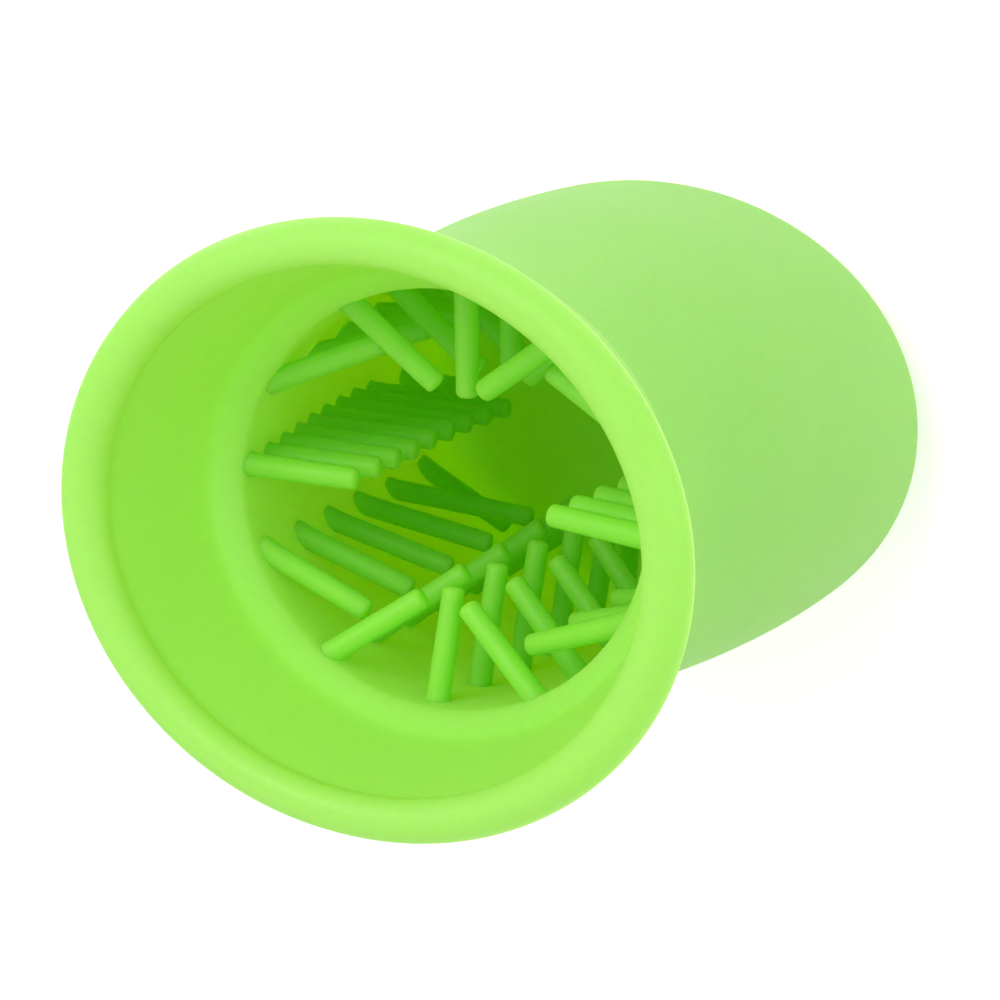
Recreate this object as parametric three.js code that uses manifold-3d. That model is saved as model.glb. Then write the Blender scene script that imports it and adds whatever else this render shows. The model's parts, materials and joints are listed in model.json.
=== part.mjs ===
// Paw washer cup: a soft silicone cup with a rolled rim, a mouth collar, a swelling barrel and rows of
// inward-pointing bristles. The cup is moulded inside out between two mould halves and then turned, so
// its bristles are parallel on the mould and converge towards the pull direction on the finished cup.
// Millimetres, +Z up along the cup's axis towards its mouth, origin at the middle of the underside.
// +X lies in the mould's parting plane and +Y is the direction in which the mould opens.
import * as THREE from "three";
import { mergeVertices } from "three/addons/utils/BufferGeometryUtils.js";
import Module from "manifold-3d";

const wasm = await Module();
wasm.setup();

// Cup, round sizes before the oval is applied
const HEIGHT = 130;
const WALL = 3.4;
const RIM_RADIUS = 50;
const BEAD_WIDTH = 7.3;
const BEAD_DEPTH = 6.5;
const NECK_RADIUS = 38.1;
const NECK_Z = 101;
const SHOULDER_STEP = 2.9;
const SHOULDER_HEIGHT = 5;
const COLLAR_SLOPE = 0.235;
const BARREL_RADIUS = 48.4;
const HEEL_RADIUS = 12;
const SWELL_POWER = 0.69;
const BASE_TOP_Z = 16;
const JOINT_GAP = 0.3;

// Oval: the soft cup is wider along X and narrower along Y by these shares of its radius
const OVAL_RIM = 0.06;
const OVAL_NECK = 0.022;
const OVAL_BARREL = 0.095;

// Bristles
const FIRST_BRISTLE_LENGTH = 19;
const LAST_BRISTLE_LENGTH = 28;
const HEEL_BRISTLE_LENGTH = 20;
const BRISTLE_ROOT_RADIUS = 1.9;
const BRISTLE_TIP_RADIUS = 1.8;
const BRISTLE_TIP_ROUND = 0.7;
const BRISTLE_DIP = THREE.MathUtils.degToRad(10);
const ROOT_BAR_RADIUS = 1.3;
const ROOT_BAR_CLEARANCE = 0.55;
const ROOT_BAR_OVERRUN = 1.6;
const FIRST_RING_Z = 95.5;
const LAST_RING_Z = 30;
const HEEL_RING_Z = 14;
const SPARSE_COUNT = 5;
const DENSE_COUNT = 9;

// Rows, by their angle away from the mould's pull direction: the shares of that angle by which the
// bristles of their first and last rings lean towards it, how many rings they have, and how much
// higher they sit than the pull rows, so that neighbouring bristles pass each other
const ROW_KINDS = {
  pull: { offset: 0, firstLean: 0, lastLean: 0, count: SPARSE_COUNT, lift: 0 },
  shoulder: { offset: 30, firstLean: 0.7, lastLean: 0.5, count: SPARSE_COUNT, lift: 3 },
  flank: { offset: 61, firstLean: 0.88, lastLean: 0.55, count: SPARSE_COUNT, lift: 1.5 },
  parting: { offset: 90, firstLean: 0, lastLean: 0, count: DENSE_COUNT, lift: 3 },
};

const LATHE_SEGMENTS = 44;
const ROD_SIDES = 8;
const BAR_CURVE_SEGMENTS = 3;
const BAR_STEPS = 5;
const PROFILE_STEPS = 7;

const barrelColour = new THREE.Color(0x96df69);
const mouthColour = new THREE.Color(0x8fd94a);
const rimColour = new THREE.Color(0x9ae66e);
const baseColour = new THREE.Color(0x86d23f);
const bristleColour = new THREE.Color(0x7fdc4c);

function silicone(colour) {
  return new THREE.MeshStandardMaterial({ color: colour, roughness: 0.42, metalness: 0 });
}

// How far the barrel has swelled from the neck (0) to the heel (1) at height z
function swell(z) {
  const share = THREE.MathUtils.clamp((NECK_Z - z) / (NECK_Z - HEEL_RADIUS), 0, 1);
  return (1 - Math.cos(Math.PI * share ** SWELL_POWER)) / 2;
}

function outerRadius(z) {
  return NECK_RADIUS + (BARREL_RADIUS - NECK_RADIUS) * swell(z);
}

function ovalShare(z) {
  if (z < NECK_Z) {
    return OVAL_NECK + (OVAL_BARREL - OVAL_NECK) * swell(z);
  }
  return THREE.MathUtils.mapLinear(z, NECK_Z, HEIGHT, OVAL_NECK, OVAL_RIM);
}

// A point of the cup from its round radius, its angle about the axis and its height
function ovalPoint(radius, angle, z) {
  const share = ovalShare(z);
  const x = radius * (1 + share) * Math.cos(angle);
  const y = radius * (1 - share) * Math.sin(angle);
  return new THREE.Vector3(x, y, z);
}

function makeOval(geometry) {
  const position = geometry.attributes.position;
  for (let i = 0; i < position.count; i += 1) {
    const share = ovalShare(position.getZ(i));
    position.setX(i, position.getX(i) * (1 + share));
    position.setY(i, position.getY(i) * (1 - share));
  }
  return geometry;
}

function arcPoints(centreRadius, centreZ, radius, startDegrees, endDegrees) {
  const points = [];
  for (let i = 0; i <= PROFILE_STEPS; i += 1) {
    const angle = THREE.MathUtils.degToRad(
      THREE.MathUtils.lerp(startDegrees, endDegrees, i / PROFILE_STEPS),
    );
    const x = centreRadius + radius * Math.cos(angle);
    const y = centreZ + radius * Math.sin(angle);
    points.push(new THREE.Vector2(x, y));
  }
  return points;
}

function heightsBetween(startZ, endZ) {
  const heights = [];
  for (let i = 0; i <= PROFILE_STEPS; i += 1) {
    heights.push(THREE.MathUtils.lerp(startZ, endZ, i / PROFILE_STEPS));
  }
  return heights;
}

// Turns a profile of (radius, height) points about the cup's axis and applies the oval
function turnedShell(profile) {
  const geometry = new THREE.LatheGeometry(profile, LATHE_SEGMENTS);
  geometry.rotateX(Math.PI / 2);
  return makeOval(geometry);
}

function namedMesh(name, geometry, colour) {
  const mesh = new THREE.Mesh(geometry, silicone(colour));
  mesh.name = name;
  return mesh;
}

// The floor and the rounded heel that joins it to the barrel
function makeBase() {
  const topZ = BASE_TOP_Z - JOINT_GAP / 2;
  const floorRadius = BARREL_RADIUS - HEEL_RADIUS;
  const profile = [new THREE.Vector2(0, 0)];
  profile.push(...arcPoints(floorRadius, HEEL_RADIUS, HEEL_RADIUS, -90, 0));
  profile.push(new THREE.Vector2(BARREL_RADIUS, topZ));
  profile.push(new THREE.Vector2(BARREL_RADIUS - WALL, topZ));
  profile.push(...arcPoints(floorRadius, HEEL_RADIUS, HEEL_RADIUS - WALL, 0, -90));
  profile.push(new THREE.Vector2(0, WALL));
  return namedMesh("base", turnedShell(profile), baseColour);
}

function makeBarrelWall() {
  const bottomZ = BASE_TOP_Z + JOINT_GAP / 2;
  const topZ = NECK_Z - JOINT_GAP / 2;
  const rising = heightsBetween(bottomZ, topZ);
  const outer = rising.map((z) => new THREE.Vector2(outerRadius(z), z));
  const inner = rising.map((z) => new THREE.Vector2(outerRadius(z) - WALL, z)).reverse();
  return namedMesh("barrel_wall", turnedShell([...outer, ...inner, outer[0].clone()]), barrelColour);
}

// Inside the mouth the wall steps out from the neck's bore over a rounded shoulder, and then
// rises as a slightly flared collar
function mouthRadius(z) {
  const climb = z - NECK_Z;
  const share = THREE.MathUtils.clamp(climb / SHOULDER_HEIGHT, 0, 1);
  const step = (SHOULDER_STEP * (1 - Math.cos(Math.PI * share))) / 2;
  return NECK_RADIUS - WALL + step + COLLAR_SLOPE * climb;
}

// Heights up the mouth, closer together over the shoulder than up the collar
function mouthHeights() {
  const bottomZ = NECK_Z + JOINT_GAP / 2;
  const topZ = HEIGHT - BEAD_DEPTH - JOINT_GAP;
  return [...heightsBetween(bottomZ, NECK_Z + SHOULDER_HEIGHT), (NECK_Z + topZ) / 2, topZ];
}

function makeMouthCollar() {
  const rising = mouthHeights();
  const outer = rising.map((z) => new THREE.Vector2(mouthRadius(z) + WALL, z));
  const inner = rising.map((z) => new THREE.Vector2(mouthRadius(z), z)).reverse();
  return namedMesh("mouth_collar", turnedShell([...outer, ...inner, outer[0].clone()]), mouthColour);
}

function makeRimBead() {
  const centreRadius = RIM_RADIUS - BEAD_WIDTH / 2;
  const centreZ = HEIGHT - BEAD_DEPTH / 2;
  const section = new THREE.EllipseCurve(centreRadius, centreZ, BEAD_WIDTH / 2, BEAD_DEPTH / 2);
  const profile = section.getPoints(2 * PROFILE_STEPS);
  profile[profile.length - 1].copy(profile[0]);
  return namedMesh("rim_bead", turnedShell(profile), rimColour);
}

function toManifold(geometry) {
  const bare = geometry.clone();
  bare.deleteAttribute("normal");
  bare.deleteAttribute("uv");
  const merged = mergeVertices(bare, 1e-4);
  return new wasm.Manifold(
    new wasm.Mesh({
      numProp: 3,
      vertProperties: new Float32Array(merged.attributes.position.array),
      triVerts: new Uint32Array(merged.index.array),
    }),
  );
}

function toGeometry(manifold) {
  const mesh = manifold.getMesh();
  const geometry = new THREE.BufferGeometry();
  geometry.setAttribute("position", new THREE.BufferAttribute(mesh.vertProperties, 3));
  geometry.setIndex(new THREE.BufferAttribute(mesh.triVerts, 1));
  geometry.computeVertexNormals();
  return geometry;
}

// Middle of a row's root bar at height z, just inside the wall
function rootPoint(angle, z) {
  const inset = WALL + ROOT_BAR_RADIUS + ROOT_BAR_CLEARANCE;
  return ovalPoint(outerRadius(z) - inset, angle, z);
}

function makeRootBar(angle, topZ, bottomZ) {
  const middles = heightsBetween(topZ + ROOT_BAR_OVERRUN, bottomZ - ROOT_BAR_OVERRUN).map((z) =>
    rootPoint(angle, z),
  );
  const section = new THREE.Shape();
  section.absarc(0, 0, ROOT_BAR_RADIUS, 0, 2 * Math.PI);
  return new THREE.ExtrudeGeometry(section, {
    steps: BAR_STEPS,
    curveSegments: BAR_CURVE_SEGMENTS,
    bevelEnabled: false,
    extrudePath: new THREE.CatmullRomCurve3(middles),
  });
}

// A bristle as a slightly tapered rod with a rounded tip, from its root along the given direction
function makeBristle(root, direction, length) {
  const profile = [
    new THREE.Vector2(0, 0),
    new THREE.Vector2(BRISTLE_ROOT_RADIUS, 0),
    new THREE.Vector2(BRISTLE_TIP_RADIUS, length - BRISTLE_TIP_ROUND),
    new THREE.Vector2(BRISTLE_TIP_RADIUS - BRISTLE_TIP_ROUND, length),
    new THREE.Vector2(0, length),
  ];
  const geometry = new THREE.LatheGeometry(profile, ROD_SIDES);
  const turn = new THREE.Quaternion().setFromUnitVectors(new THREE.Vector3(0, 1, 0), direction);
  geometry.applyQuaternion(turn);
  geometry.translate(root.x, root.y, root.z);
  return geometry;
}

// Bristles point inwards, turned from the axis by their lean and dipped towards the base
function bristleDirection(heading, dip) {
  return new THREE.Vector3(
    -Math.cos(heading) * Math.cos(dip),
    -Math.sin(heading) * Math.cos(dip),
    -Math.sin(dip),
  );
}

// A row's bristles grow longer from its first ring to its last, so their tips reach about as far
// as those at the narrow neck. One short, level bristle more sits just above the heel.
function listBristles(row) {
  const bristles = [];
  for (let i = 0; i < row.count; i += 1) {
    const share = i / (row.count - 1);
    bristles.push({
      z: THREE.MathUtils.lerp(FIRST_RING_Z, LAST_RING_Z, share) + row.lift,
      heading: row.angle + row.offset * THREE.MathUtils.lerp(row.firstLean, row.lastLean, share),
      dip: BRISTLE_DIP,
      reach: THREE.MathUtils.lerp(FIRST_BRISTLE_LENGTH, LAST_BRISTLE_LENGTH, share),
    });
  }
  bristles.push({
    z: HEEL_RING_Z + row.lift,
    heading: row.angle + row.offset * row.firstLean,
    dip: 0,
    reach: HEEL_BRISTLE_LENGTH,
  });
  return bristles;
}

function makeBristleRow(name, row) {
  const bristles = listBristles(row);
  const heights = bristles.map((bristle) => bristle.z);
  let solid = toManifold(makeRootBar(row.angle, Math.max(...heights), Math.min(...heights)));
  for (const { z, heading, dip, reach } of bristles) {
    const length = reach - ROOT_BAR_RADIUS - ROOT_BAR_CLEARANCE;
    const direction = bristleDirection(heading, dip);
    solid = solid.add(toManifold(makeBristle(rootPoint(row.angle, z), direction, length)));
  }
  return namedMesh(name, toGeometry(solid), bristleColour);
}

// Rows go round from +X against the clock: a parting row, then the rows about each pull direction
function listRows() {
  const rows = [];
  for (const pullDegrees of [90, 270]) {
    for (const [kindName, side] of [
      ["parting", -1],
      ["flank", -1],
      ["shoulder", -1],
      ["pull", 1],
      ["shoulder", 1],
      ["flank", 1],
    ]) {
      const kind = ROW_KINDS[kindName];
      const offset = THREE.MathUtils.degToRad(side * kind.offset);
      const angle = THREE.MathUtils.degToRad(pullDegrees) + offset;
      rows.push({ ...kind, angle, offset });
    }
  }
  return rows;
}

const cup = new THREE.Group();
cup.add(makeBase());
cup.add(makeBarrelWall());
cup.add(makeMouthCollar());
cup.add(makeRimBead());
listRows().forEach((row, index) => {
  const number = String(index + 1).padStart(2, "0");
  cup.add(makeBristleRow(`bristle_row_${number}`, row));
});

export default cup;
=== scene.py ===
import json
import math

import bpy
import numpy as np
from mathutils import Euler, Matrix, Vector


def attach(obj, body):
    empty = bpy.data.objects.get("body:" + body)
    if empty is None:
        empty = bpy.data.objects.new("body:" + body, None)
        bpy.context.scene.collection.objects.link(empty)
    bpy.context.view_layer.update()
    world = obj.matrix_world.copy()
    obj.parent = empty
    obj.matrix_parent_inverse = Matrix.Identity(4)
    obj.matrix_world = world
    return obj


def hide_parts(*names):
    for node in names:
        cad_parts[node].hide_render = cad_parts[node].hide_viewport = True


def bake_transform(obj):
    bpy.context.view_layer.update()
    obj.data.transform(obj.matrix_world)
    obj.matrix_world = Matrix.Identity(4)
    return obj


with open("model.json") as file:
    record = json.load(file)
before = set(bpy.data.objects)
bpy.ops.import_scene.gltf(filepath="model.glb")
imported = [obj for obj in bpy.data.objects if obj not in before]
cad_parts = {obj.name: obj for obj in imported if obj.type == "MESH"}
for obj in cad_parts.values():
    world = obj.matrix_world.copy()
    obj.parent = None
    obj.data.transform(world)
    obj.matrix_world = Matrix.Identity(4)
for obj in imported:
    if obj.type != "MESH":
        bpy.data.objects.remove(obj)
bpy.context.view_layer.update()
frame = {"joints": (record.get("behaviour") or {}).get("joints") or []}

bl_info = {
    "name": "Paw washer cup",
    "version": (1, 0, 0),
    "blender": (4, 5, 0),
    "location": "3D View > Sidebar > Paw Washer",
    "description": "A soft silicone cup lined with rows of bendable bristles",
    "category": "Object",
}

# Shape of the mouth and of the barrel's swelling, in metres
SHOULDER_STEP = 0.0029
SHOULDER_HEIGHT = 0.005
COLLAR_SLOPE = 0.235
SWELL_POWER = 0.69

# Oval: the soft cup is wider along X and narrower along Y by these shares of its radius
OVAL_RIM = 0.06
OVAL_NECK = 0.022
OVAL_BARREL = 0.095

# Heights of the bristle rings, and how far inside the wall's face each row's hinge lies
FIRST_RING_Z = 0.0955
LAST_RING_Z = 0.030
HEEL_RING_Z = 0.014
HINGE_INSET = 0.00185

# Share of the light on the silicone's skin that carries on through it
THROUGH_SHARE = 0.40

# Softening of the wall's corners: the bell curve's width and reach, the points it runs over, and how
# strongly the final points crowd where the wall bends
BELL_WIDTH = 0.00045
BELL_REACH = 0.0014
FINE_POINTS = 3600
BEND_WEIGHT = 0.010
SHARPEST_BEND = 1500

# Mould line's width, and the soft crease under the rim: out from the bore and up from the collar's top
FLASH_WIDTH = 0.00028
CREASE_OUT = 0.00025
CREASE_UP = 0.0006

# Bristles: depth sunk in the wall, fade of the root's flare, crowding of rings at the root, dome of
# the tip as shares of its rounding, and the most that one strays from its true direction in degrees
ROOT_SUNK = 0.0012
FLARE_FADE = 0.0007
RING_CROWDING = 1.7
TIP_REACH = 0.82
TIP_POLE = 0.1
STRAY_DEGREES = 0.5

# Studio: half the floor's width, how far it lies under the cup, and the strength of the white
# surroundings; each lamp's name, place, width and watts, and the spot they all face
FLOOR_HALF_WIDTH = 3.0
FLOOR_DROP = 0.0003
SURROUNDINGS = 0.64
SOFTBOXES = (
    ("key_softbox", (-0.35, 0.55, 1.05), 0.9, 8.5),
    ("fill_softbox", (0.95, 0.15, 0.75), 0.8, 3.2),
    ("back_softbox", (-0.6, -0.75, 0.8), 0.8, 1.5),
)
LIGHTS_FACE = (0, 0, 0.08)

# Camera: its place, its turns about X, Y and Z in degrees, and its lens and sensor in millimetres
CAMERA_PLACE = (0.1584, 0.0948, 0.4328)
CAMERA_TURNS = (-12.42, 24.96, 4.50)
CAMERA_LENS = 86.4
CAMERA_SENSOR = 36

# Rows, by their angle away from the mould's pull direction: the shares of that angle by which
# the bristles of the first and last rings lean towards it, the rings, and the lift of the rings
ROW_KINDS = {
    "pull": (0, 0, 0, 5, 0),
    "shoulder": (30, 0.7, 0.5, 5, 0.003),
    "flank": (61, 0.88, 0.55, 5, 0.0015),
    "parting": (90, 0, 0, 9, 0.003),
}
ROW_ORDER = (("parting", -1), ("flank", -1), ("shoulder", -1), ("pull", 1), ("shoulder", 1), ("flank", 1))

# Faces round the cup, points along its wall, and faces round and rings along one bristle
CUP_AROUND = 256
CUP_ALONG = 230
BRISTLE_AROUND = 22
SHAFT_RINGS = 18
TIP_RINGS = 6


def hex_to_linear(code):
    """The linear red, green and blue of an sRGB hex colour, by the standard's two-part curve."""
    srgb = np.array([int(code[i : i + 2], 16) for i in (1, 3, 5)]) / 255
    linear = np.where(srgb <= 0.04045, srgb / 12.92, ((srgb + 0.055) / 1.055) ** 2.4)
    return tuple(float(value) for value in linear)


class PawCupShape(bpy.types.PropertyGroup):
    height: bpy.props.FloatProperty(
        name="Height", description="Underside to the top of the rim", default=0.130, unit="LENGTH"
    )
    wall: bpy.props.FloatProperty(
        name="Wall", description="Thickness of the silicone wall", default=0.0034, unit="LENGTH"
    )
    rim_radius: bpy.props.FloatProperty(
        name="Rim radius", description="Mean outer radius of the rolled rim", default=0.050, unit="LENGTH"
    )
    bead_width: bpy.props.FloatProperty(
        name="Bead width", description="Width of the rolled rim's section", default=0.0073, unit="LENGTH"
    )
    bead_depth: bpy.props.FloatProperty(
        name="Bead depth", description="Height of the rolled rim's section", default=0.0065, unit="LENGTH"
    )
    neck_radius: bpy.props.FloatProperty(
        name="Neck radius", description="Outer radius at the neck", default=0.0381, unit="LENGTH"
    )
    neck_z: bpy.props.FloatProperty(
        name="Neck height", description="Height of the neck", default=0.101, unit="LENGTH"
    )
    barrel_radius: bpy.props.FloatProperty(
        name="Barrel radius", description="Outer radius of the barrel", default=0.0484, unit="LENGTH"
    )
    heel_radius: bpy.props.FloatProperty(
        name="Heel radius", description="Radius of the rounded heel", default=0.012, unit="LENGTH"
    )
    flash_height: bpy.props.FloatProperty(
        name="Flash height",
        description="How far the mould line stands out round the rim",
        default=0.00022,
        unit="LENGTH",
    )


class PawCupBristles(bpy.types.PropertyGroup):
    root_radius: bpy.props.FloatProperty(
        name="Root radius", description="Bristle radius at the wall", default=0.00198, unit="LENGTH"
    )
    tip_radius: bpy.props.FloatProperty(
        name="Tip radius", description="Bristle radius near the tip", default=0.00186, unit="LENGTH"
    )
    tip_round: bpy.props.FloatProperty(
        name="Tip rounding", description="Radius of the tip's rounded edge", default=0.0011, unit="LENGTH"
    )
    root_flare: bpy.props.FloatProperty(
        name="Root flare",
        description="Extra radius where a bristle meets the wall",
        default=0.00015,
        unit="LENGTH",
    )
    first_length: bpy.props.FloatProperty(
        name="First length", description="Bristle length in the first ring", default=0.019, unit="LENGTH"
    )
    last_length: bpy.props.FloatProperty(
        name="Last length", description="Bristle length in the last full ring", default=0.028, unit="LENGTH"
    )
    heel_length: bpy.props.FloatProperty(
        name="Heel length", description="Length of the bristles above the heel", default=0.020, unit="LENGTH"
    )
    dip: bpy.props.FloatProperty(
        name="Dip", description="How far bristles point down", default=math.radians(10), subtype="ANGLE"
    )


class PawCupFinish(bpy.types.PropertyGroup):
    cup_colour: bpy.props.FloatVectorProperty(
        name="Cup",
        description="Colour of the wall",
        default=hex_to_linear("#ABE47C"),
        size=3,
        subtype="COLOR",
    )
    cup_deep_colour: bpy.props.FloatVectorProperty(
        name="Cup, deeper tone",
        description="Colour that drifts into the wall",
        default=hex_to_linear("#A5E074"),
        size=3,
        subtype="COLOR",
    )
    # Painted highlight: a lighter colour on the mould line that stands in for the light its thin ridge
    # catches
    flash_highlight_colour: bpy.props.FloatVectorProperty(
        name="Mould line",
        description="Colour of the thin flash round the rim",
        default=hex_to_linear("#C4F0A2"),
        size=3,
        subtype="COLOR",
    )
    glow_colour: bpy.props.FloatVectorProperty(
        name="Light coming through",
        description="Colour of light that has crossed the silicone",
        default=hex_to_linear("#DEF810"),
        size=3,
        subtype="COLOR",
    )
    bristle_glow_colour: bpy.props.FloatVectorProperty(
        name="Light coming through bristles",
        description="Colour of light that has crossed a bristle",
        default=hex_to_linear("#C0FA1C"),
        size=3,
        subtype="COLOR",
    )
    bristle_colour: bpy.props.FloatVectorProperty(
        name="Bristles",
        description="Colour of the bristles",
        default=hex_to_linear("#A4EE58"),
        size=3,
        subtype="COLOR",
    )
    floor_colour: bpy.props.FloatVectorProperty(
        name="Floor",
        description="Colour of the studio floor",
        default=hex_to_linear("#F9F9F7"),
        size=3,
        subtype="COLOR",
    )


def swell(z, shape):
    """Share of the swelling from neck (0) to heel (1): half of one minus the cosine of a half turn
    times the share of the way down, raised to SWELL_POWER."""
    share = np.clip((shape.neck_z - z) / (shape.neck_z - shape.heel_radius), 0, 1)
    return (1 - np.cos(np.pi * share**SWELL_POWER)) / 2


def outer_radius(z, shape):
    """Neck radius plus the swell's share of the way to the barrel radius."""
    return shape.neck_radius + (shape.barrel_radius - shape.neck_radius) * swell(z, shape)


def mouth_radius(z, shape):
    """Bore of the mouth: the neck's bore plus a cosine step over the shoulder and a straight slope."""
    climb = z - shape.neck_z
    share = np.clip(climb / SHOULDER_HEIGHT, 0, 1)
    step = SHOULDER_STEP * (1 - np.cos(np.pi * share)) / 2
    return shape.neck_radius - shape.wall + step + COLLAR_SLOPE * climb


def oval_share(z, shape):
    """Share by which the cup is wider along X: it follows the swell below the neck and runs in a
    straight line from the neck to the rim above it."""
    below = OVAL_NECK + (OVAL_BARREL - OVAL_NECK) * swell(z, shape)
    above = np.interp(z, [shape.neck_z, shape.height], [OVAL_NECK, OVAL_RIM])
    return np.where(z < shape.neck_z, below, above)


def oval_points(radius, angle, z, shape):
    """Points at a round radius and an angle, stretched along X and narrowed along Y by the oval's share."""
    share = oval_share(z, shape)
    x = radius * (1 + share) * np.cos(angle)
    y = radius * (1 - share) * np.sin(angle)
    return np.stack(np.broadcast_arrays(x, y, z), axis=-1)


def arc(centre_radius, centre_z, half_width, half_depth, start, end, count=60):
    """Points of an ellipse about a centre, from a start angle to an end angle in degrees."""
    turn = np.radians(np.linspace(start, end, count))
    radius = centre_radius + half_width * np.cos(turn)
    return np.stack([radius, centre_z + half_depth * np.sin(turn)], axis=-1)


def wall_section(shape):
    """Closed half section of the cup, from the middle of the underside, up the outside, over the rim
    and down the inside to the middle of the floor. Its corners are softened by a running average
    weighted by a bell curve 0.45 mm wide, its points crowd where it bends, and the mould line is a
    bell-shaped ridge round the rim's widest level."""
    wall, heel = shape.wall, shape.heel_radius
    floor_radius = shape.barrel_radius - heel
    bead_r = shape.rim_radius - shape.bead_width / 2
    bead_z = shape.height - shape.bead_depth / 2
    half_width, half_depth = shape.bead_width / 2, shape.bead_depth / 2
    under_bead_z = bead_z - half_depth
    barrel_z = np.linspace(heel, shape.neck_z, 160)
    collar_z = np.linspace(shape.neck_z, under_bead_z - 0.0002, 90)
    barrel_r = outer_radius(barrel_z, shape)
    collar_r = mouth_radius(collar_z, shape)
    crease_r = mouth_radius(under_bead_z, shape)
    points = np.concatenate([
        [[0.0, 0.0]],
        arc(floor_radius, heel, heel, heel, -90, 0),
        np.stack([barrel_r, barrel_z], axis=-1),
        np.stack([collar_r + wall, collar_z], axis=-1),
        arc(bead_r, bead_z, half_width, half_depth, -62, 180, 120),
        arc(bead_r, bead_z, half_width, half_depth, 180, 212, 20),
        [[crease_r + CREASE_OUT, under_bead_z + CREASE_UP]],
        np.stack([collar_r, collar_z], axis=-1)[::-1],
        np.stack([barrel_r - wall, barrel_z], axis=-1)[::-1],
        arc(floor_radius, heel, heel - wall, heel - wall, 0, -90),
        [[0.0, wall]],
    ])
    step = np.hypot(*np.diff(points, axis=0).T)
    keep = np.concatenate([[True], step > 1e-7])
    points = points[keep]
    along = np.concatenate([[0], np.cumsum(np.hypot(*np.diff(points, axis=0).T))])
    even = np.linspace(0, along[-1], FINE_POINTS)
    spacing = even[1] - even[0]
    fine = np.stack([np.interp(even, along, points[:, i]) for i in (0, 1)], axis=-1)
    reach = int(BELL_REACH / spacing)
    bell = np.exp(-0.5 * (np.arange(-reach, reach + 1) * spacing / BELL_WIDTH) ** 2)
    bell /= bell.sum()
    padded = np.concatenate([2 * fine[0] - fine[reach:0:-1], fine, 2 * fine[-1] - fine[-2 : -reach - 2 : -1]])
    fine = np.stack([np.convolve(padded[:, i], bell, mode="valid") for i in (0, 1)], axis=-1)
    outside = fine[:, 0] > bead_r
    ridge = np.where(outside, np.exp(-(((fine[:, 1] - bead_z) / FLASH_WIDTH) ** 2)), 0)
    fine[:, 0] += shape.flash_height * ridge
    heading = np.unwrap(np.arctan2(*np.gradient(fine, axis=0).T[::-1]))
    bend = np.abs(np.gradient(heading)) / spacing
    weight = np.cumsum(1 + BEND_WEIGHT * np.minimum(bend, SHARPEST_BEND))
    chosen = np.interp(np.linspace(weight[0], weight[-1], CUP_ALONG), weight, even)
    section = np.stack([np.interp(chosen, even, fine[:, i]) for i in (0, 1)], axis=-1)
    section[0, 0] = section[-1, 0] = 0
    section[0, 1], section[-1, 1] = 0, wall
    # The ridge's share is also returned as the mask for the mould line's painted highlight
    return section, np.interp(chosen, even, ridge)


def turned_faces(rings, around):
    """Faces of a turned surface of that many rings between two poles: four-sided faces between
    neighbouring rings and a fan of triangles at each pole."""
    ring, spoke = np.meshgrid(np.arange(rings - 1), np.arange(around), indexing="ij")
    after = (spoke + 1) % around
    quads = np.stack([
        ring * around + spoke,
        ring * around + after,
        (ring + 1) * around + after,
        (ring + 1) * around + spoke,
    ], axis=-1).reshape(-1, 4)
    turn = np.arange(around)
    following = (turn + 1) % around
    first, last = rings * around, rings * around + 1
    top = (rings - 1) * around
    start_fan = np.stack([following, turn, np.full(around, first)], axis=-1)
    end_fan = np.stack([top + turn, top + following, np.full(around, last)], axis=-1)
    return quads, np.concatenate([start_fan, end_fan])


def enclosed_volume(points, quads, triangles):
    """Volume inside a closed surface: a sixth of the sum of each triangle's triple product."""
    flat = np.concatenate([quads[:, [0, 1, 2]], quads[:, [0, 2, 3]], triangles])
    a, b, c = (points[flat[:, i]] for i in range(3))
    return np.einsum("ij,ij->i", a, np.cross(b, c)).sum() / 6


def make_piece(name, points, quads, triangles, material):
    """A smooth mesh object at the origin, its faces turned to look outwards."""
    if enclosed_volume(points, quads, triangles) < 0:
        quads, triangles = quads[:, ::-1], triangles[:, ::-1]
    mesh = bpy.data.meshes.new(name)
    mesh.from_pydata(points.tolist(), [], quads.tolist() + triangles.tolist())
    mesh.validate()
    mesh.polygons.foreach_set("use_smooth", np.ones(len(mesh.polygons), dtype=bool))
    mesh.materials.append(material)
    piece = bpy.data.objects.new(name, mesh)
    bpy.context.scene.collection.objects.link(piece)
    return piece


def add_node(tree, kind, settings=None, inputs=None):
    """Adds a node, sets its own settings, then sets each input to a value or links it to a socket."""
    node = tree.nodes.new(kind)
    for key, value in (settings or {}).items():
        setattr(node, key, value)
    for key, value in (inputs or {}).items():
        if isinstance(value, bpy.types.NodeSocket):
            tree.links.new(value, node.inputs[key])
        else:
            node.inputs[key].default_value = value
    return node


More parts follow.
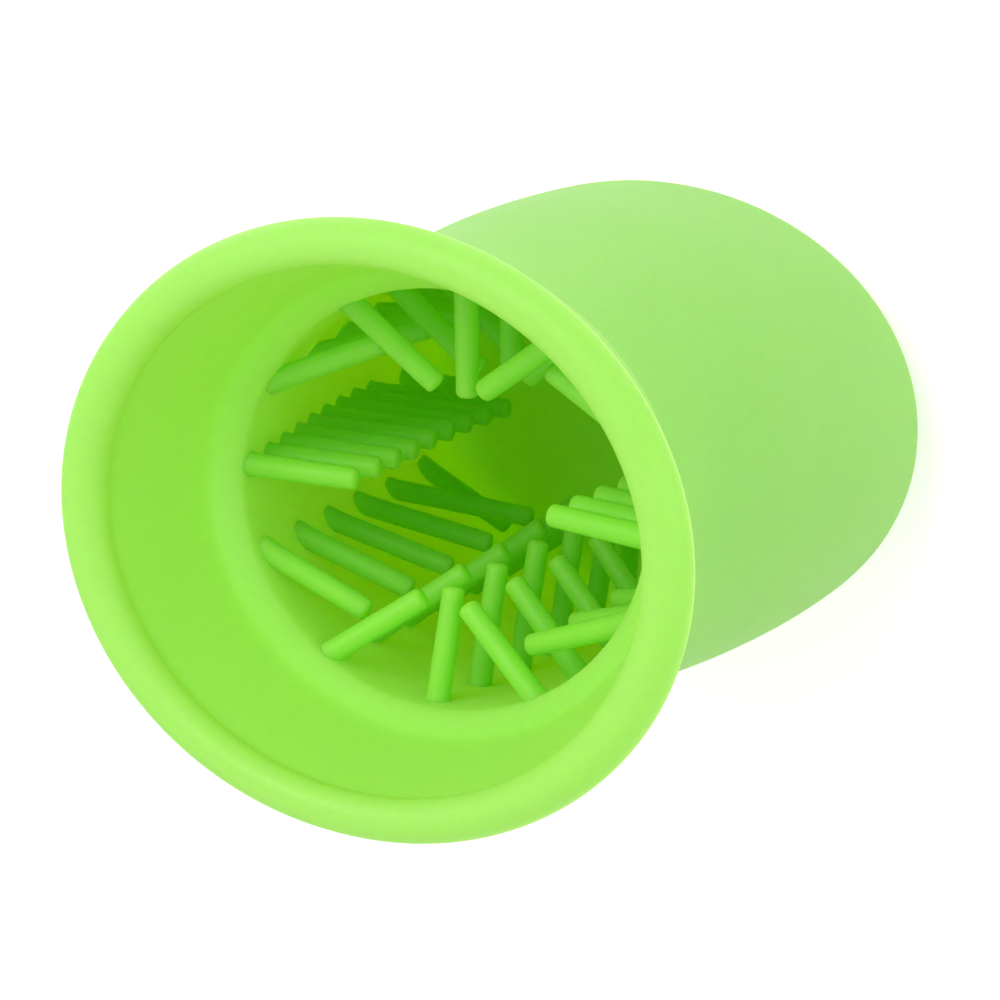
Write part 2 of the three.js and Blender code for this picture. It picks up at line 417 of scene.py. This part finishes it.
def moulded_silicone(name, colour, deep_colour, glow_colour, flash_highlight_colour=None):
    """Compression-moulded silicone rubber: an even, satin skin with a fine texture taken from the
    blasted mould, a slight drift between two tones where the pigment settled, and light that seeps a
    few millimetres in or right through, which softens its shading and makes thin edges glow. Given
    the same tone twice, it has one even tone."""
    material = bpy.data.materials.new(name)
    material.use_nodes = True
    tree = material.node_tree
    tree.nodes.clear()
    place = add_node(tree, "ShaderNodeTexCoord").outputs["Object"]
    # Pigment drift about 25 mm across
    drift = add_node(tree, "ShaderNodeTexNoise", None, {"Vector": place, "Scale": 40.0, "Detail": 2.0})
    tone = add_node(
        tree,
        "ShaderNodeMix",
        {"data_type": "RGBA"},
        {0: drift.outputs["Fac"], 6: (*deep_colour, 1), 7: (*colour, 1)},
    ).outputs[2]
    # Painted highlight: the mould line is coloured lighter than the wall, standing in for the light its ridge
    # catches
    if flash_highlight_colour is not None:
        line = add_node(tree, "ShaderNodeAttribute", {"attribute_name": "mould_line_highlight"}).outputs["Fac"]
        marked = {0: line, 6: tone, 7: (*flash_highlight_colour, 1)}
        tone = add_node(tree, "ShaderNodeMix", {"data_type": "RGBA"}, marked).outputs[2]
    # Blasted-mould grain is about 0.1 mm; it is drawn 0.7 mm across so that it shows
    grain = add_node(tree, "ShaderNodeTexNoise", None, {"Vector": place, "Scale": 1400.0, "Detail": 3.0})
    # Slow waviness of a soft wall, about 18 mm from crest to crest
    wave = add_node(tree, "ShaderNodeTexNoise", None, {"Vector": place, "Scale": 55.0, "Detail": 1.0})
    coarse = add_node(
        tree, "ShaderNodeBump", None, {"Height": wave.outputs["Fac"], "Strength": 0.12, "Distance": 0.0008}
    )
    fine = add_node(
        tree,
        "ShaderNodeBump",
        None,
        {
            "Height": grain.outputs["Fac"],
            "Strength": 0.1,
            "Distance": 0.00006,
            "Normal": coarse.outputs["Normal"],
        },
    )
    # Handling leaves the satin skin a little shinier in places, about 12 mm across
    wear = add_node(tree, "ShaderNodeTexNoise", None, {"Vector": place, "Scale": 85.0, "Detail": 3.0})
    satin = add_node(
        tree,
        "ShaderNodeMapRange",
        None,
        {"Value": wear.outputs["Fac"], "From Min": 0.3, "From Max": 0.7, "To Min": 0.40, "To Max": 0.50},
    )
    shader = add_node(
        tree,
        "ShaderNodeBsdfPrincipled",
        None,
        {
            "Base Color": tone,
            "Roughness": satin.outputs["Result"],
            "Normal": fine.outputs["Normal"],
            "IOR": 1.41,
            "Subsurface Weight": 1.0,
            "Subsurface Radius": (0.7, 1.0, 0.15),
            "Subsurface Scale": 0.006,
        },
    )
    # Light crosses a few millimetres of silicone and leaves it a deeper yellow green
    glow = {"Color": (*glow_colour, 1), "Normal": fine.outputs["Normal"]}
    through = add_node(tree, "ShaderNodeBsdfTranslucent", None, glow)
    layers = {0: THROUGH_SHARE, 1: shader.outputs["BSDF"], 2: through.outputs["BSDF"]}
    skin = add_node(tree, "ShaderNodeMixShader", None, layers)
    add_node(tree, "ShaderNodeOutputMaterial", None, {"Surface": skin.outputs["Shader"]})
    return material


def painted_floor(name, colour):
    """Matt white studio paper, lit from below as well as above, so shadows on it stay faint."""
    material = bpy.data.materials.new(name)
    material.use_nodes = True
    tree = material.node_tree
    tree.nodes.clear()
    place = add_node(tree, "ShaderNodeTexCoord").outputs["Object"]
    # Paper fibres drawn about 4 mm long
    fibre = add_node(tree, "ShaderNodeTexNoise", None, {"Vector": place, "Scale": 250.0, "Detail": 4.0})
    relief = {"Height": fibre.outputs["Fac"], "Strength": 0.05, "Distance": 0.0002}
    bump = add_node(tree, "ShaderNodeBump", None, relief)
    shader = add_node(
        tree,
        "ShaderNodeBsdfPrincipled",
        None,
        {
            "Base Color": (*colour, 1),
            "Roughness": 0.9,
            "Specular IOR Level": 0.1,
            "Emission Color": (1, 1, 1, 1),
            "Emission Strength": 0.35,
            "Normal": bump.outputs["Normal"],
        },
    )
    add_node(tree, "ShaderNodeOutputMaterial", None, {"Surface": shader.outputs["BSDF"]})
    return material


def list_rows():
    """Each row as its angle, its offset from the pull direction, its two leans, rings and lift."""
    rows = []
    for pull_degrees in (90, 270):
        for kind, side in ROW_ORDER:
            offset, first_lean, last_lean, rings, lift = ROW_KINDS[kind]
            signed = math.radians(side * offset)
            rows.append((math.radians(pull_degrees) + signed, signed, first_lean, last_lean, rings, lift))
    return rows


def bristle_axes(row, shape, bristles, chance):
    """Where each bristle of a row starts, its direction and its reach. Reach and lean change evenly
    from the first ring to the last; the heel's bristle is short and level. Each bristle is off its
    true direction by up to half a degree, as soft ones are."""
    angle, signed, first_lean, last_lean, rings, lift = row
    share = np.append(np.linspace(0, 1, rings), 0)
    heel = np.append(np.zeros(rings, dtype=bool), True)
    z = np.where(heel, HEEL_RING_Z, FIRST_RING_Z + (LAST_RING_Z - FIRST_RING_Z) * share) + lift
    lean = signed * (first_lean + (last_lean - first_lean) * share)
    dip = np.where(heel, 0, bristles.dip)
    reach = bristles.first_length + (bristles.last_length - bristles.first_length) * share
    reach = np.where(heel, bristles.heel_length, reach)
    wobble = np.radians(chance.uniform(-STRAY_DEGREES, STRAY_DEGREES, (2, rings + 1)))
    heading = angle + lean + wobble[0]
    dip = dip + wobble[1]
    level = np.cos(dip)
    direction = -np.stack([np.cos(heading) * level, np.sin(heading) * level, np.sin(dip)], axis=-1)
    root = oval_points(outer_radius(z, shape) - shape.wall - HINGE_INSET, angle, z, shape)
    to_wall = HINGE_INSET / np.cos(lean)
    return root - direction * to_wall[:, None], direction, reach - HINGE_INSET + to_wall


def bristle_surfaces(start, direction, length, bristles):
    """Rods as circles carried along straight lines. Along a rod the radius narrows evenly from root
    to tip, flares at the wall by a falling exponential, and closes at the tip over a quarter circle
    and a shallow dome. The root is sunk 1.2 mm into the wall."""
    rounding = bristles.tip_round
    ease = np.linspace(0, 1, SHAFT_RINGS) ** RING_CROWDING
    shaft = -ROOT_SUNK + (length[:, None] - rounding + ROOT_SUNK) * ease[None, :]
    quarter = np.linspace(0, np.pi / 2, TIP_RINGS + 1)[1:]
    tip = length[:, None] - rounding + rounding * TIP_REACH * np.sin(quarter)[None, :]
    along = np.concatenate([shaft, tip], axis=1)
    taper = bristles.root_radius + (bristles.tip_radius - bristles.root_radius) * along / length[:, None]
    flare = bristles.root_flare * np.exp(-np.maximum(along, 0) / FLARE_FADE)
    closing = np.concatenate([np.zeros(SHAFT_RINGS), rounding * (1 - np.cos(quarter))])
    radius = taper + flare - closing[None, :]
    side = np.cross(direction, [0.0, 0.0, 1.0])
    side /= np.linalg.norm(side, axis=1, keepdims=True)
    over = np.cross(side, direction)
    turn = np.linspace(0, 2 * np.pi, BRISTLE_AROUND, endpoint=False)
    spokes = np.cos(turn)[None, :, None] * side[:, None] + np.sin(turn)[None, :, None] * over[:, None]
    centres = start[:, None] + direction[:, None] * along[..., None]
    rings = centres[:, :, None] + radius[..., None, None] * spokes[:, None]
    poles = np.stack([
        start - direction * ROOT_SUNK,
        start + direction * (length - rounding * TIP_POLE)[:, None],
    ], axis=1)
    points = np.concatenate([rings.reshape(len(start), -1, 3), poles], axis=1)
    quads, triangles = turned_faces(SHAFT_RINGS + TIP_RINGS, BRISTLE_AROUND)
    offsets = (np.arange(len(start)) * points.shape[1])[:, None, None]
    return (
        points.reshape(-1, 3),
        (quads[None] + offsets).reshape(-1, 4),
        (triangles[None] + offsets).reshape(-1, 3),
    )


class PAWCUP_OT_build_cup(bpy.types.Operator):
    """Builds the cup's continuous wall, from underside to rolled rim to floor"""

    bl_idname = "paw_cup.build_cup"
    bl_label = "Build cup wall"

    def execute(self, context):
        shape, finish = context.scene.paw_cup_shape, context.scene.paw_cup_finish
        section, ridge = wall_section(shape)
        inner = section[1:-1]
        angle = np.linspace(0, 2 * np.pi, CUP_AROUND, endpoint=False)
        rings = oval_points(inner[:, :1], angle[None, :], inner[:, 1:], shape).reshape(-1, 3)
        poles = np.stack([np.zeros(2), np.zeros(2), section[[0, -1], 1]], axis=-1)
        points = np.concatenate([rings, poles])
        quads, triangles = turned_faces(len(inner), CUP_AROUND)
        material = moulded_silicone(
            "moulded_silicone_cup",
            finish.cup_colour,
            finish.cup_deep_colour,
            finish.glow_colour,
            finish.flash_highlight_colour,
        )
        cup = make_piece("cup_wall", points, quads, triangles, material)
        # Mask of the mould line, which the material paints lighter as a painted highlight
        line = cup.data.attributes.new("mould_line_highlight", "FLOAT", "POINT")
        marks = np.append(np.repeat(ridge[1:-1], CUP_AROUND), [0, 0])
        line.data.foreach_set("value", marks.astype(np.float32))
        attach(cup, "cup")
        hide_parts("base", "barrel_wall", "mouth_collar", "rim_bead")
        return {"FINISHED"}


class PAWCUP_OT_build_bristles(bpy.types.Operator):
    """Builds the twelve rows of bristles, each growing from the wall"""

    bl_idname = "paw_cup.build_bristles"
    bl_label = "Build bristle rows"

    def execute(self, context):
        scene = context.scene
        shape, bristles, finish = scene.paw_cup_shape, scene.paw_cup_bristles, scene.paw_cup_finish
        material = moulded_silicone(
            "moulded_silicone_bristles",
            finish.bristle_colour,
            finish.bristle_colour,
            finish.bristle_glow_colour,
        )
        chance = np.random.default_rng(7)
        hinges = {joint["child"]: joint for joint in frame["joints"]}
        for number, row in enumerate(list_rows(), start=1):
            body = f"bristle_row_{number:02d}"
            start, direction, length = bristle_axes(row, shape, bristles, chance)
            points, quads, triangles = bristle_surfaces(start, direction, length, bristles)
            piece = make_piece(f"bristles_{number:02d}", points, quads, triangles, material)
            middle, axis = Vector(hinges[body]["pos_m"]), Vector(hinges[body]["axis"])
            inwards = Vector((-math.cos(row[0]), -math.sin(row[0]), 0))
            inwards = (inwards - axis * inwards.dot(axis)).normalized()
            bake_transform(piece)
            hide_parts(body)
        return {"FINISHED"}


class PAWCUP_OT_build_studio(bpy.types.Operator):
    """Lays the pale floor, hangs the soft lights and sets up the camera"""

    bl_idname = "paw_cup.build_studio"
    bl_label = "Build studio"

    def execute(self, context):
        scene = context.scene
        half = FLOOR_HALF_WIDTH
        corners = [(-half, -half, 0), (half, -half, 0), (half, half, 0), (-half, half, 0)]
        mesh = bpy.data.meshes.new("studio_floor")
        mesh.from_pydata(corners, [], [(0, 1, 2, 3)])
        mesh.materials.append(painted_floor("matt_white_paper", scene.paw_cup_finish.floor_colour))
        floor = bpy.data.objects.new("studio_floor", mesh)
        floor.location.z = -FLOOR_DROP
        scene.collection.objects.link(floor)

        world = bpy.data.worlds.new("soft_studio")
        world.use_nodes = True
        background = world.node_tree.nodes["Background"]
        background.inputs["Color"].default_value = (1, 1, 1, 1)
        background.inputs["Strength"].default_value = SURROUNDINGS
        scene.world = world
        for name, place, size, watts in SOFTBOXES:
            lamp = bpy.data.lights.new(name, "AREA")
            lamp.shape = "DISK"
            lamp.size = size
            lamp.energy = watts
            light = bpy.data.objects.new(name, lamp)
            light.location = place
            facing = Vector(LIGHTS_FACE) - Vector(place)
            light.rotation_euler = facing.to_track_quat("-Z", "Y").to_euler()
            scene.collection.objects.link(light)

        camera = bpy.data.objects.new("studio_camera", bpy.data.cameras.new("studio_camera"))
        camera.data.lens = CAMERA_LENS
        camera.data.sensor_width = CAMERA_SENSOR
        turns = Euler([math.radians(turn) for turn in CAMERA_TURNS])
        camera.matrix_world = Matrix.LocRotScale(Vector(CAMERA_PLACE), turns, None)
        scene.collection.objects.link(camera)
        scene.camera = camera
        scene.view_settings.view_transform = "Standard"
        return {"FINISHED"}


class PAWCUP_PT_panel(bpy.types.Panel):
    bl_idname = "PAWCUP_PT_panel"
    bl_label = "Paw washer cup"
    bl_space_type = "VIEW_3D"
    bl_region_type = "UI"
    bl_category = "Paw Washer"

    def draw(self, context):
        scene = context.scene
        for group in (scene.paw_cup_shape, scene.paw_cup_bristles, scene.paw_cup_finish):
            for key in group.bl_rna.properties.keys():
                if key not in {"rna_type", "name"}:
                    self.layout.prop(group, key)
        for operator in OPERATORS:
            self.layout.operator(operator.bl_idname)


GROUPS = (PawCupShape, PawCupBristles, PawCupFinish)
OPERATORS = (PAWCUP_OT_build_cup, PAWCUP_OT_build_bristles, PAWCUP_OT_build_studio)


def register():
    for item in (*GROUPS, *OPERATORS, PAWCUP_PT_panel):
        bpy.utils.register_class(item)
    bpy.types.Scene.paw_cup_shape = bpy.props.PointerProperty(type=PawCupShape)
    bpy.types.Scene.paw_cup_bristles = bpy.props.PointerProperty(type=PawCupBristles)
    bpy.types.Scene.paw_cup_finish = bpy.props.PointerProperty(type=PawCupFinish)


def unregister():
    del bpy.types.Scene.paw_cup_shape
    del bpy.types.Scene.paw_cup_bristles
    del bpy.types.Scene.paw_cup_finish
    for item in reversed((*GROUPS, *OPERATORS, PAWCUP_PT_panel)):
        bpy.utils.unregister_class(item)


def main():
    register()
    bpy.ops.paw_cup.build_cup()
    bpy.ops.paw_cup.build_bristles()
    bpy.ops.paw_cup.build_studio()


if __name__ == "__main__":
    main()
